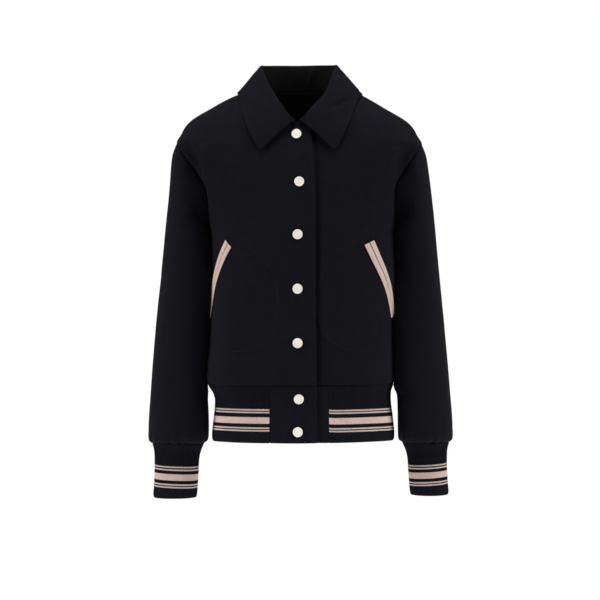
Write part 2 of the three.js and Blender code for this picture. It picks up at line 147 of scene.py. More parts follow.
def ovalPoint(half, front, back, square, angle):
    # a squared-off oval: -90 degrees at the front, 0 at the side, 90 at the back
    across, forward = np.cos(np.radians(angle)), np.sin(np.radians(angle))
    reach = (np.abs(across) ** square + np.abs(forward) ** square) ** (-1 / square)
    return half * reach * across, np.where(forward < 0, front, back) * reach * forward


def ringPoint(rings, z, angle):
    z, angle = np.broadcast_arrays(np.asarray(z, float), np.asarray(angle, float))
    columns = [along(rings, "z", name, z) for name in ("half", "front", "back", "square")]
    x, y = ovalPoint(*columns, angle)
    return np.stack([x, y, z], axis=-1)


def bodyPoint(z, angle):
    # a ring of the body, drawn in beside the armhole by a fold
    point = ringPoint(bodyRings, z, angle)
    height = point[..., 2]
    offCentre = np.abs(point[..., 0]) - along(armpitFold, "z", "x", height)
    depth = along(armpitFold, "z", "depth", height) * bell(offCentre, cloth["foldWidth"])
    point[..., 1] += np.where(point[..., 1] < 0, depth, -cloth["foldBehind"] * depth)
    return point


def angleAtX(rings, z, x):
    # the angle at which a ring crosses a distance from the middle
    half, square = along(rings, "z", "half", z), along(rings, "z", "square", z)
    ratio = np.maximum((half / np.maximum(np.abs(x), 0.01)) ** square - 1, 0)
    return np.degrees(np.arctan2(ratio ** (1 / square), np.where(np.asarray(x) < 0, -1, 1)))


# how far each side hangs towards the wearer's left, by height
sway = table(
    "z right left",
    (-570, 4.2, 4.2), (-500, 4.2, 4.2), (-478, 1, 0.8), (-460, 0, 0), (-425, 2.2, 0.3), (-385, 4.4, 1.4),
    (-345, 6, 5.2), (-312, 6.4, 8), (-265, 5.2, 8), (-220, 4.4, 6), (-180, 4.2, 4.2),
)


def swayed(points):
    # the sides of the body, and the sleeves beside them, hang a little to the wearer's left,
    # and the shoulder on that side is a little lower
    side, drop = np.abs(points[..., 0]), -points[..., 2]
    share = smooth(side, *cloth["swaySides"]) * (1 - smooth(side, *cloth["swayFade"]))
    share = share * smooth(drop, *cloth["swayDrop"])
    right, left = (along(sway, "z", name, points[..., 2]) for name in ("right", "left"))
    shift = np.where(points[..., 0] < 0, right, left)
    shoulder = smooth(side, *cloth["tiltSides"]) * (1 - smooth(drop, *cloth["tiltDrop"]))
    moved = points.copy()
    moved[..., 0] += shift * share
    moved[..., 2] -= cloth["shoulderTilt"] * np.sign(points[..., 0]) * shoulder
    return moved


def mirrored(grid):
    # the other side of the jacket, its columns reversed so that it still faces out
    return (grid * np.array([-1, 1, 1]))[:, ::-1]


def gridNormals(grid, closed=False):
    # across the columns times up the rows
    if closed:
        sideways = np.roll(grid, -1, axis=1) - np.roll(grid, 1, axis=1)
    else:
        sideways = np.gradient(grid, axis=1)
    return unit(np.cross(sideways, np.gradient(grid, axis=0)))


def arcs(grid, axis):
    # distance travelled over the cloth along one way of the grid
    steps = np.linalg.norm(np.diff(grid, axis=axis), axis=-1)
    start = np.zeros_like(np.take(steps, [0], axis=axis))
    return np.cumsum(np.concatenate([start, steps], axis=axis), axis=axis)


def seamDip(grid, edges, depth, width):
    # the cloth turns down into each seam, over a width of a few millimetres
    dip = np.zeros(grid.shape[:2])
    across, up = arcs(grid, 1), arcs(grid, 0)
    away = {"first": across, "last": across[:, -1:] - across, "bottom": up, "top": up[-1:] - up}
    for edge in edges.split():
        dip += bell(away[edge], width)
    return -depth * np.clip(dip, 0, 1)


def creaseRelief(u, v, creases):
    # each crease is a bell across its line that fades towards both ends
    du, dv = creases["u1"] - creases["u0"], creases["v1"] - creases["v0"]
    fromU, fromV = u[..., None] - creases["u0"], v[..., None] - creases["v0"]
    t = (fromU * du + fromV * dv) / (du**2 + dv**2)
    held = np.clip(t, 0, 1)
    away = np.hypot(fromU - held * du, fromV - held * dv)
    ends = np.sqrt(np.clip(4 * t * (1 - t), 0, 1))
    return (creases["depth"] * bell(away, creases["width"]) * ends).sum(axis=-1)


def borderLoops(rows, columns, closed):
    # the edge of the grid as rings of point numbers, the cloth on their left
    number = np.arange(rows * columns).reshape(rows, columns)
    if closed:
        return [number[0], number[-1, ::-1]]
    return [np.concatenate([number[0, :-1], number[:-1, -1], number[-1, :0:-1], number[:0:-1, 0]])]


def edgeDirections(grid, closed):
    # which way is off the cloth at each point of its border
    off = np.zeros_like(grid)
    off[0] += unit(grid[0] - grid[1])
    off[-1] += unit(grid[-1] - grid[-2])
    if not closed:
        off[:, 0] += unit(grid[:, 0] - grid[:, 1])
        off[:, -1] += unit(grid[:, -1] - grid[:, -2])
    return unit(off)


def clothMap(grid, closed, fixed=None):
    # metres of cloth across from one column and up, with one more column where a tube closes
    whole = closedUp(grid, closed)
    across, up = arcs(whole, 1), arcs(whole, 0)
    column = whole.shape[1] // 2 if fixed is None else fixed
    start = 0 if fixed is None else whole[:, column, 0]
    return np.stack([across - (across[:, column] - start)[:, None], up], axis=-1) * metre


def makeMesh(name, points, faces, faceUvs, smoothFaces=True, inside=None):
    # four-sided faces put straight into the mesh
    mesh = bpy.data.meshes.new(name)
    mesh.vertices.add(len(points))
    mesh.vertices.foreach_set("co", (points * metre).astype(np.float32).ravel())
    mesh.loops.add(faces.size)
    mesh.loops.foreach_set("vertex_index", faces.astype(np.int32).ravel())
    mesh.polygons.add(len(faces))
    mesh.polygons.foreach_set("loop_start", np.arange(0, faces.size, faces.shape[1], dtype=np.int32))
    mesh.polygons.foreach_set("use_smooth", np.full(len(faces), smoothFaces))
    if inside is not None:
        mesh.polygons.foreach_set("material_index", inside.astype(np.int32))
    layer = mesh.uv_layers.new(name="cloth")
    layer.data.foreach_set("uv", faceUvs.astype(np.float32).ravel())
    mesh.update(calc_edges=True)
    piece = bpy.data.objects.new(name, mesh)
    bpy.context.scene.collection.objects.link(piece)
    return piece


def addWall(name, grid, wall, finishes, closed=False, uv=None, normals=None):
    # the outer grid, the same grid a wall's thickness in, and a rounded edge between their borders
    rows, columns = grid.shape[:2]
    normals = gridNormals(grid, closed) if normals is None else normals
    inner = grid - normals * wall
    off = edgeDirections(grid, closed)
    uv = clothMap(grid, closed) if uv is None else uv
    points = [grid.reshape(-1, 3), inner.reshape(-1, 3)]
    count = rows * columns
    corners, outside = gridCells(rows, columns, closed)
    outsideUv = np.stack([uv[a, b] for a, b in corners], axis=-2).reshape(-1, 4, 2)
    faces = [outside, (outside + count)[:, ::-1]]
    uvs = [outsideUv, outsideUv[:, ::-1]]
    flatUv = uv[:, :columns].reshape(-1, 2)
    total = 2 * count
    for loop in borderLoops(rows, columns, closed):
        rings = [loop]
        for share, bulge in cloth["rim"]:
            ring = (grid - normals * wall * share + off * wall * bulge).reshape(-1, 3)[loop]
            rings.append(np.arange(total, total + len(loop)))
            points.append(ring)
            total += len(loop)
        rings.append(loop + count)
        edgeUv = flatUv[loop]
        nextUv = np.roll(edgeUv, -1, axis=0)
        if closed:  # the map jumps where the tube closes
            jumps = np.abs(nextUv - edgeUv).max(axis=1, keepdims=True) > cloth["mapJump"]
            nextUv = np.where(jumps, edgeUv, nextUv)
        for near, far in zip(rings, rings[1:]):
            faces.append(np.stack([np.roll(near, -1), near, far, np.roll(far, -1)], axis=-1))
            uvs.append(np.stack([nextUv, edgeUv, edgeUv, nextUv], axis=-2))
    inside = np.zeros(sum(len(f) for f in faces))
    inside[len(outside) : 2 * len(outside)] = 1
    points, faces, uvs = (np.concatenate(parts) for parts in (points, faces, uvs))
    piece = makeMesh(name, points, faces, uvs, True, inside)
    for finish in finishes:
        piece.data.materials.append(finish)
    return piece


def addNode(tree, kind, inputs=(), **settings):
    # a node with its settings, and each input linked or given a value
    made = tree.nodes.new(kind)
    for name, value in settings.items():
        setattr(made, name, value)
    for key, value in dict(inputs).items():
        if isinstance(value, bpy.types.NodeSocket):
            tree.links.new(value, made.inputs[key])
        else:
            made.inputs[key].default_value = value
    return made


def startFinish(name, roughness, sheen=0.0, sheenTint=(1, 1, 1, 1), coat=0.0, specular=0.5):
    finish = bpy.data.materials.new(name)
    finish.use_nodes = True
    shader = finish.node_tree.nodes["Principled BSDF"]
    shader.inputs["Roughness"].default_value = roughness
    shader.inputs["Sheen Weight"].default_value = sheen
    shader.inputs["Sheen Roughness"].default_value = 0.45
    shader.inputs["Sheen Tint"].default_value = sheenTint
    shader.inputs["Coat Weight"].default_value = coat
    shader.inputs["Specular IOR Level"].default_value = specular
    return finish, finish.node_tree, shader


def calc(tree, operation, first, second=0.0, third=0.0):
    return addNode(tree, "ShaderNodeMath", {0: first, 1: second, 2: third}, operation=operation).outputs[0]


def blendColours(tree, factor, first, second):
    made = addNode(tree, "ShaderNodeMix", {0: factor, 6: first, 7: second}, data_type="RGBA")
    return made.outputs[2]


def addBump(tree, shader, height, distance):
    bump = addNode(tree, "ShaderNodeBump", {"Height": height, "Distance": distance, "Strength": 1.0})
    tree.links.new(bump.outputs["Normal"], shader.inputs["Normal"])


wool = {
    "deep": (0.0017, 0.0015, 0.0026, 1), "worn": (0.0048, 0.0044, 0.0070, 1),
    "roughness": 0.9, "sheen": 0.012, "sheenTint": (0.62, 0.62, 0.8, 1),
    "twill": 340.0, "nap": 900.0, "mottle": 75.0, "bump": 0.00035,
}


def woolFinish(name, colours):
    # a brushed twill: diagonal bands under a nap of short fibres, in two close tones
    finish, tree, shader = startFinish(
        name, colours["roughness"], colours["sheen"], colours["sheenTint"], 0, 0.04,
    )
    flat = addNode(tree, "ShaderNodeUVMap", uv_map="cloth").outputs[0]
    place = addNode(tree, "ShaderNodeTexCoord").outputs["Object"]
    nap = addNode(tree, "ShaderNodeTexNoise", {"Vector": place, "Scale": colours["nap"], "Detail": 3.0})
    mottle = addNode(tree, "ShaderNodeTexNoise", {"Vector": place, "Scale": colours["mottle"], "Detail": 5.0})
    twill = addNode(
        tree, "ShaderNodeTexWave",
        {"Vector": flat, "Scale": colours["twill"], "Distortion": 2.5, "Detail": 2.0, "Detail Scale": 1.5},
        bands_direction="DIAGONAL",
    )
    tone = calc(tree, "MULTIPLY_ADD", nap.outputs[0], 0.8, calc(tree, "MULTIPLY", mottle.outputs[0], 0.55))
    tone = calc(tree, "MULTIPLY_ADD", twill.outputs["Fac"], 0.2, calc(tree, "SUBTRACT", tone, 0.28))
    tree.links.new(blendColours(tree, tone, colours["deep"], colours["worn"]), shader.inputs["Base Color"])
    height = calc(tree, "MULTIPLY_ADD", twill.outputs["Fac"], 0.5, nap.outputs[0])
    addBump(tree, shader, height, colours["bump"])
    return finish


knit = {
    "deep": (0.0019, 0.0020, 0.0032, 1), "worn": (0.0056, 0.0058, 0.0084, 1),
    "pale": (0.44, 0.33, 0.30, 1), "paleDeep": (0.32, 0.24, 0.21, 1), "thin": (0.36, 0.29, 0.27, 1),
    "stitch": 0.0014, "jag": 0.0005, "roughness": 0.92, "sheen": 0.01, "bump": 0.0004,
}


def knitFinish(name, stripes=(), pale=False):
    # a rib knit: the map's first part counts ribs and its second is the height in metres;
    # each stitch is a small V, so a stripe's edge steps up and down within a rib
    finish, tree, shader = startFinish(name, knit["roughness"], knit["sheen"], (0.8, 0.8, 0.9, 1), 0, 0.04)
    flat = addNode(tree, "ShaderNodeUVMap", uv_map="cloth").outputs[0]
    place = addNode(tree, "ShaderNodeTexCoord").outputs["Object"]
    part = addNode(tree, "ShaderNodeSeparateXYZ", {0: flat})
    slant = calc(tree, "PINGPONG", part.outputs[0], 0.5)
    height = calc(tree, "MULTIPLY_ADD", slant, 2 * knit["jag"], part.outputs[1])
    fibres = addNode(tree, "ShaderNodeTexNoise", {"Vector": place, "Scale": 1100.0, "Detail": 3.0})
    loops = calc(tree, "SINE", calc(tree, "MULTIPLY", height, 2 * np.pi / knit["stitch"]))
    tone = calc(tree, "MULTIPLY_ADD", loops, 0.18, fibres.outputs[0])
    dark = blendColours(tree, tone, knit["deep"], knit["worn"])
    light = blendColours(tree, tone, knit["paleDeep"], knit["pale"])
    colour = light if pale else dark
    for low, high, kind in stripes:
        inside = calc(tree, "MULTIPLY", calc(tree, "GREATER_THAN", height, low * metre),
                      calc(tree, "LESS_THAN", height, high * metre))
        colour = blendColours(tree, inside, colour, light if kind == "wide" else knit["thin"])
    tree.links.new(colour, shader.inputs["Base Color"])
    addBump(tree, shader, calc(tree, "MULTIPLY_ADD", loops, 0.35, fibres.outputs[0]), knit["bump"])
    return finish


def enamelFinish():
    # off-white enamel with a faint cloudiness
    finish, tree, shader = startFinish("snapEnamel", 0.32, 0, (1, 1, 1, 1), 0.35, 0.5)
    place = addNode(tree, "ShaderNodeTexCoord").outputs["Object"]
    cloud = addNode(tree, "ShaderNodeTexNoise", {"Vector": place, "Scale": 420.0, "Detail": 2.0})
    colour = blendColours(tree, cloud.outputs[0], (0.46, 0.43, 0.375, 1), (0.54, 0.51, 0.445, 1))
    tree.links.new(colour, shader.inputs["Base Color"])
    addBump(tree, shader, cloud.outputs[0], 0.00006)
    return finish


navyWool = woolFinish("navyWool", wool)
insideWool = woolFinish("insideWool", {
    **wool, "deep": (0.0026, 0.0026, 0.0026, 1), "worn": (0.0070, 0.0070, 0.0068, 1), "roughness": 0.7,
})
standWool = woolFinish("standWool", {
    **wool, "deep": (0.0042, 0.0043, 0.0041, 1), "worn": (0.0105, 0.0105, 0.0099, 1),
})
# the stitching thread is lighter than the wool: partly the thread's own colour, partly a painted highlight for
# the light its raised line catches
threadWithHighlight = woolFinish("navyThreadWithHighlight", {
    **wool, "deep": (0.007, 0.007, 0.010, 1), "worn": (0.013, 0.013, 0.018, 1), "roughness": 0.6,
})
snapEnamel = enamelFinish()
print("finishes made")


def dress(piece, nodes):
    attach(piece, "root")
    if nodes:
        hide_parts(*nodes)
    return piece


def areaOf(grid, closed=False):
    # both triangles of each cell of a grid, in square metres
    whole = closedUp(grid, closed)
    a, b, c, d = whole[:-1, :-1], whole[:-1, 1:], whole[1:, 1:], whole[1:, :-1]
    halves = np.linalg.norm(np.cross(b - a, c - a), axis=-1) + np.linalg.norm(np.cross(c - a, d - a), axis=-1)
    return halves.sum() / 2 * metre**2


body = {
    "hemZ": -474, "underarmZ": -230, "armholeTopZ": -86, "lapTopZ": -61.5,
    "neckFrontZ": -60, "neckTopZ": 1, "neckHalf": 80, "neckCurve": 1.1, "underLap": 20,
    "lowRows": 98, "armholeRows": 68, "shoulderRows": 11, "neckRows": 38,
    "frontColumns": 112, "backColumns": 80,
    "seamDepth": 1.0, "seamWidth": 2.6, "hemDip": 0.9, "hemDipWidth": 2.2,
    # the lapping edge's lift and the hollow beside it, and how far down both begin and are full
    "edgeLift": 1.6, "edgeReach": 13, "lapHollow": 3.0, "lapHollowX": 29.5, "lapHollowWidth": 3,
    "lapDrop": (75, 130),
}
neckHeight = body["neckTopZ"] - body["neckFrontZ"]


def neckX(z):
    drop = np.clip((body["neckTopZ"] - z) / neckHeight, 0, None)
    return body["neckHalf"] * np.sqrt(np.maximum(1 - drop ** body["neckCurve"], 0))


def bodyHeights(topAngle):
    # close together where the armhole and the neck turn fastest
    low = body["hemZ"] + (body["underarmZ"] - body["hemZ"]) * np.linspace(0, 1, body["lowRows"]) ** 1.15
    middle = (body["underarmZ"] + body["armholeTopZ"]) / 2
    turn = np.linspace(0, np.pi, body["armholeRows"])
    evened = 0.7 * np.cos(turn) + 0.3 * (1 - 2 * turn / np.pi)
    armhole = middle - (body["armholeTopZ"] - middle) * evened
    shoulder = np.linspace(body["armholeTopZ"], body["lapTopZ"], body["shoulderRows"])
    turn = np.radians(np.linspace(0, topAngle, body["neckRows"]))
    neck = body["neckTopZ"] - neckHeight * np.cos(turn) ** (2 / body["neckCurve"])
    return np.concatenate([low, armhole[1:], shoulder[1:], neck])


def outerAngle(z):
    beside = angleAtX(bodyRings, z, along(armholeSeam, "z", "x", z))
    return np.where((z <= body["underarmZ"]) | (z >= body["armholeTopZ"]), 0, beside)


def lapShift(x, step, fade):
    return step * (1 - smooth(x, cloth["lapFlat"], fade))


def fanned(inner, outer, columns):
    # angles from the inner edge to the outer one: crowded towards the outer edge,
    # where only the last columns follow the edge in and out
    t = 1 - (1 - np.linspace(0, 1, columns)) ** cloth["crowding"]
    inner, outer = inner[:, None], outer[:, None]
    local = np.clip(0.8 * inner / np.maximum(outer, 0.01), 1, 8)
    return inner * (1 - t) + outer * t ** local


def frontGrid(rings, pointAt, z, innerX, outer, columns, step, fade):
    # a front on the wearer's left, from its centre edge to its side, stepped out where the fronts lap
    grid = pointAt(z[:, None], -fanned(angleAtX(rings, z, innerX), outer, columns))
    grid[..., 1] = np.minimum(grid[..., 1], -cloth["seamGap"]) - lapShift(grid[..., 0], step, fade)
    return grid


# soft creases seen from the front, then fewer on the back: line from, to, width, and depth out or in
frontCreases = table(
    "u0 v0 u1 v1 width depth",
    (-150, -215, -92, -262, 9, -0.9), (-146, -170, -104, -196, 8, 0.7), (-120, -300, -100, -455, 14, 0.8),
    (-70, -330, -58, -470, 11, -0.6), (-150, -400, -118, -468, 9, -0.8), (-92, -100, -70, -190, 13, 0.6),
    (148, -222, 100, -280, 10, -0.8), (150, -176, 112, -186, 7, 0.8), (118, -320, 126, -460, 13, 0.7),
    (64, -300, 74, -462, 12, -0.7), (146, -380, 120, -470, 10, -0.7), (84, -96, 62, -172, 12, 0.7),
    (-40, -420, 10, -470, 10, -0.6), (95, -128, 150, -112, 10, 0.7), (-98, -130, -152, -116, 9, 0.8),
    (-152, -96, -145, -150, 9, 3.2), (-145, -134, -141, -236, 8, 2.8), (153, -98, 146, -150, 9, 3.0),
    (145, -136, 142, -230, 8, 2.6), (-178, -88, -158, -140, 12, -3.4), (172, -92, 156, -138, 11, -3.2),
    (-148, -88, -182, -84, 9, 1.6), (140, -86, 180, -82, 9, 1.5),
)
backCreases = table(
    "u0 v0 u1 v1 width depth",
    (-140, -190, -60, -230, 11, -1.0), (-145, -240, -70, -300, 12, 0.9), (-30, -60, -44, -210, 16, 0.8),
    (40, -70, 30, -230, 15, -0.8), (142, -196, 66, -246, 10, -1.0), (146, -250, 84, -330, 13, 1.0),
    (-90, -330, -100, -468, 13, 0.9), (-20, -340, -8, -470, 16, -0.9), (58, -320, 66, -466, 14, 0.8),
    (120, -360, 104, -470, 10, -0.7), (-140, -380, -124, -468, 10, -0.8),
)

# the sewn outline of each pocket bag inside the front: sides differ, as they hang
pocketBags = {
    "right": table(
        "x z", (-92, -247), (-64, -270), (-44, -290), (-31, -335), (-36.5, -388), (-49, -404), (-64, -414),
        (-88, -419.5), (-112, -418.5), (-131, -413),
    ),
    "left": table(
        "x z", (100, -244), (56.5, -272.5), (38.5, -297), (31, -340), (38, -387), (53.5, -405), (71, -416),
        (92.5, -420), (113.5, -419.5), (136, -411.5),
    ),
}


def distanceToPath(x, z, path):
    # to the nearest of the path's segments
    ax, az = path[:-1, 0], path[:-1, 1]
    bx, bz = np.diff(path[:, 0]), np.diff(path[:, 1])
    t = np.clip(((x[..., None] - ax) * bx + (z[..., None] - az) * bz) / (bx**2 + bz**2), 0, 1)
    return np.hypot(x[..., None] - ax - t * bx, z[..., None] - az - t * bz).min(axis=-1)


bagPaths = {side: evenly(np.stack([bag["x"], bag["z"]], axis=1), 64) for side, bag in pocketBags.items()}


def drape(x, z):
    # a slow unevenness that no flat panel is free of
    return 0.45 * np.sin(x / 31 + 1.3) * np.sin(z / 47 + 0.4) + 0.3 * np.sin(x / 17 - z / 61)


def frontRelief(x, z):
    # the creases, the drape, and the sewn line of the pocket bag with the cloth puffed either side
    relief = creaseRelief(x, z, frontCreases) + drape(x, z) * smooth(np.abs(x), 35, 70)
    for path in bagPaths.values():
        away = distanceToPath(x, z, path)
        relief += 0.5 * bell(away, 5.0) + 0.45 * bell(away, 1.6)
    return relief


def backRelief(x, z):
    return creaseRelief(x, z, backCreases) + 1.4 * drape(x, z + 90)


def hemGather(x, z, depth):
    # small uneven tucks where the cloth is eased onto the narrower rib
    wave = np.sin(x / 2.9 + 1.4 * np.sin(x / 13)) * (0.6 + 0.4 * np.sin(x / 21 + 2))
    return depth * wave * bell(z - body["hemZ"] - 5, 9) * smooth(np.abs(x), 40, 75)


def frontSurface(x, z, step):
    # the front's own surface at a distance from the middle and a height, and its outward direction
    def place(x, z):
        point = bodyPoint(z, -angleAtX(bodyRings, z, np.abs(x)))
        point[..., 0] *= np.where(x < 0, -1, 1)
        point[..., 1] -= lapShift(np.abs(x), step, cloth["bodyLapFade"])
        return point
    point = place(x, z)
    outward = unit(np.cross(place(x + 0.5, z) - point, place(x, z + 0.5) - point))
    return point + outward * frontRelief(x, z)[..., None], outward


def lapX(z):
    # the lapping edge's distance from the middle
    return along(lapEdge, "z", "x", z)


def underX(z):
    # how far the under front reaches past the middle
    return np.full_like(z, body["underLap"])


def addFront(side, step, innerX):
    onRight = side == "right"
    z = bodyHeights(81.2)
    inner = np.where(z >= body["neckFrontZ"], neckX(z), -innerX(z))
    grid = frontGrid(
        bodyRings, bodyPoint, z, inner, outerAngle(z), body["frontColumns"], step, cloth["bodyLapFade"]
    )
    if onRight:
        grid = mirrored(grid)
    normals = gridNormals(grid)
    x, height = grid[..., 0], grid[..., 2]
    relief = frontRelief(x, height) + hemGather(x, height, 0.5)
    relief += seamDip(grid, "first" if onRight else "last", body["seamDepth"], body["seamWidth"])
    relief += seamDip(grid, "bottom", body["hemDip"], body["hemDipWidth"])
    lapped = smooth(-height, *body["lapDrop"])
    if onRight:  # the lapping edge stands off a little, more in some places than others
        fromEdge = arcs(grid, 1)[:, -1:] - arcs(grid, 1)
        uneven = 0.75 + 0.25 * np.sin(height / 41)
        relief += body["edgeLift"] * uneven * (1 - smooth(fromEdge, 0, body["edgeReach"])) * lapped
    else:
        relief -= body["lapHollow"] * bell(x - body["lapHollowX"], body["lapHollowWidth"]) * lapped
    grid = swayed(grid + normals * relief[..., None])
    flat = clothMap(grid, False, -1 if onRight else 0)
    piece = addWall(f"front.{side}", grid, cloth["wall"], [navyWool, insideWool], False, flat)
    dress(piece, [f"front_{side}"])
    print("front", side, "area", round(areaOf(grid), 4))
    return piece


frontRight = addFront("right", cloth["lapStep"], lapX)
frontLeft = addFront("left", -cloth["lapStep"], underX)


def roundTheBack(leftHalf, rightHalf):
    return np.concatenate([leftHalf, mirrored(rightHalf)[:, 1:]], axis=1)


def addBack():
    z = bodyHeights(90)
    half = bodyPoint(z[:, None], fanned(np.full_like(z, 90), outerAngle(z), body["backColumns"])[:, ::-1])
    half[..., 1] = np.maximum(half[..., 1], cloth["seamGap"])
    grid = roundTheBack(half, half)
    x, height = grid[..., 0], grid[..., 2]
    relief = backRelief(x, height) + hemGather(x, height, 0.6)
    relief += seamDip(grid, "first last", body["seamDepth"], body["seamWidth"])
    relief += seamDip(grid, "bottom", body["hemDip"], body["hemDipWidth"])
    grid = swayed(grid + gridNormals(grid) * relief[..., None])
    piece = addWall("backPanel", grid, cloth["wall"], [navyWool, insideWool])
    dress(piece, ["back"])
    print("back area", round(areaOf(grid), 4))
    return piece


backPanel = addBack()
print("body made")

# sleeves, from the cuff seam up to the armhole
sleeve = {
    "rows": 192, "columns": 128, "square": 2.2, "clear": 0.9, "tuck": 0.8, "seamDepth": 0.9, "seamWidth": 2.4,
    "gather": 1.3, "gatherHeight": 13, "creaseRadius": 56, "restDrop": (228, 262), "soften": 4,
}
# slanting rings: outer and inner line seen from the front, the middle of the depth and half of it
sleeveRings = table(
    "outerX outerZ innerX innerZ middle depth",
    (205.5, -108, 151.5, -236, 0, 60), (210, -146, 152, -248, 0, 65), (213.5, -182, 152.5, -264, -1, 66),
    (217, -220, 152.5, -286, -2, 65), (220.5, -262, 152.5, -314, -4, 63), (225, -306, 153, -344, -7, 61),
    (230, -352, 154, -378, -10, 59), (234.5, -400, 155.5, -416, -12.5, 57),
    (238.5, -448, 157, -456, -14.5, 55.5), (241.5, -492, 156, -496, -16, 54.5),
    (244, -528, 153.5, -528, -16.5, 54), (244.5, -552, 152.5, -552, -17, 52),
    (243, -564, 154, -564, -17, 48), (240, -568.5, 158, -568.5, -17, 42),
)
# creases by degrees round the sleeve, 0 outside and -90 in front, and by height; left and right differ
sleeveCreases = {
    "right": table(
        "u0 v0 u1 v1 width depth",
        (-150, -250, -84, -206, 11, -2.2), (-146, -214, -70, -150, 10, 1.5),
        (-128, -300, -62, -268, 13, -1.3),
        (-70, -330, -30, -400, 16, 1.0), (-122, -420, -76, -392, 12, -1.0), (-104, -520, -60, -470, 13, 0.9),
        (-40, -180, -16, -300, 18, 0.9), (150, -262, 84, -214, 12, -2.0), (138, -330, 70, -300, 13, 1.4),
        (128, -410, 66, -380, 13, -1.3), (100, -500, 44, -450, 14, 1.1), (20, -380, 34, -520, 18, -0.8),
        (-20, -548, -56, -500, 9, -1.0),
    ),
    "left": table(
        "u0 v0 u1 v1 width depth",
        (-148, -246, -92, -196, 11, -2.0), (-140, -205, -78, -142, 9, 1.7), (-126, -318, -70, -280, 14, -1.1),
        (-64, -300, -24, -390, 17, 1.1), (-118, -440, -70, -404, 12, -1.1), (-110, -512, -74, -540, 11, -1.8),
        (-90, -552, -50, -498, 9, 1.2), (146, -270, 88, -210, 12, -2.1), (132, -344, 64, -306, 12, 1.5),
        (124, -430, 60, -396, 14, -1.2), (104, -516, 50, -470, 13, 1.0), (14, -340, 26, -500, 18, -0.8),
    ),
}
# how far the inner line is pressed towards the body, by height
innerPush = {
    "right": table(
        "z push", (-569, 0), (-552, 0.6), (-500, 2.8), (-492, 5), (-484, 9), (-474, 12), (-430, 13),
        (-250, 12), (-205, 0),
    ),
    "left": table(
        "z push", (-569, 0), (-550, 0.4), (-500, 5), (-490, 6), (-483, 10), (-474, 13), (-430, 12),
        (-250, 11), (-205, 0),
    ),
}


def armholePoint(angle, side):
    # the armhole from its top at 0 degrees round its front at -90, on the body's creased surface
    middle = (body["armholeTopZ"] + body["underarmZ"]) / 2
    z = middle + (body["armholeTopZ"] - middle) * np.cos(np.radians(angle))
    crossing = angleAtX(bodyRings, z, along(armholeSeam, "z", "x", z))
    around = np.where(angle < 0, -crossing, crossing)
    point = bodyPoint(z, around) - np.array([sleeve["tuck"], 0, 0])
    outward = unit(np.cross(bodyPoint(z, around + 0.5) - point, bodyPoint(z + 0.5, around) - point))
    x = point[:, 0] * (-1 if side == "right" else 1)
    behind = smooth(point[:, 1], -8, 8)
    relief = frontRelief(x, z) * (1 - behind) + backRelief(x, z) * behind
    return point + outward * relief[:, None]


def besideBody(grid, across, side):
    # the inner line is pressed in, then rests on the body's side
    y, z = grid[..., 1], grid[..., 2]
    half, square = along(bodyRings, "z", "half", z), along(bodyRings, "z", "square", z)
    depth = np.where(y < 0, along(bodyRings, "z", "front", z), along(bodyRings, "z", "back", z))
    flank = half * np.maximum(1 - np.abs(y / depth) ** square, 0) ** (1 / square)
    pressed = grid[..., 0] - along(innerPush[side], "z", "push", z) * smooth(-across, -0.1, 0.85)
    proud = pressed - flank - sleeve["clear"]
    rested = flank + sleeve["clear"] + 0.5 * (proud + np.sqrt(proud**2 + sleeve["soften"]))
    share = smooth(-z, *sleeve["restDrop"])
    moved = grid.copy()
    moved[..., 0] = pressed + (rested - pressed) * share
    return moved


def sleeveGrid(side):
    # control rings joined by a smooth curve at each angle
    angle = np.linspace(-180, 180, sleeve["columns"] + 1)[:-1]
    rings = {name: column[:, None] for name, column in sleeveRings.items()}
    across, forward = ovalPoint(1, 1, 1, sleeve["square"], angle)
    outward = (1 + across) / 2
    x = rings["innerX"] + (rings["outerX"] - rings["innerX"]) * outward
    z = rings["innerZ"] + (rings["outerZ"] - rings["innerZ"]) * outward
    control = np.stack([x, rings["middle"] + rings["depth"] * forward, z], axis=-1)[::-1]
    control = np.concatenate([control, armholePoint(angle, side)[None]])
    return evenly(control, sleeve["rows"]), angle, across


def addSleeve(side):
    grid, angle, across = sleeveGrid(side)
    normals = gridNormals(grid, True)
    radius = sleeve["creaseRadius"] * np.pi / 180  # millimetres round the sleeve for a degree
    creases = dict(sleeveCreases[side])
    creases["u0"], creases["u1"] = creases["u0"] * radius, creases["u1"] * radius
    roundSleeve = np.broadcast_to(angle * radius, grid.shape[:2])
    height = grid[..., 2]
    relief = creaseRelief(roundSleeve, height, creases)
    relief += 0.5 * np.sin(roundSleeve / 24 + 1) * np.sin(height / 53) * smooth(-height, 130, 200)
    turn = np.radians(angle)
    phase = 1 if side == "left" else 3
    pleats = np.sin(21 * turn + 1.7 * np.sin(3 * turn)) * (0.55 + 0.45 * np.sin(5 * turn + phase))
    up = arcs(grid, 0)
    relief += sleeve["gather"] * pleats * bell(up - 5, sleeve["gatherHeight"])
    relief += seamDip(grid, "bottom top", sleeve["seamDepth"], sleeve["seamWidth"])
    relief -= 0.7 * bell((180 - np.abs(angle)) * radius, 2.0) * smooth(up[-1] - up, 0, 8)
    grid = besideBody(grid + normals * relief[..., None], across, side)
    grid = swayed(mirrored(grid) if side == "right" else grid)
    piece = addWall(f"sleeve.{side}", grid, cloth["wall"], [navyWool, insideWool], True)
    dress(piece, [f"sleeve_{side}"])
    print("sleeve", side, "area", round(areaOf(grid, True), 4))
    return piece


sleeveRight, sleeveLeft = addSleeve("right"), addSleeve("left")

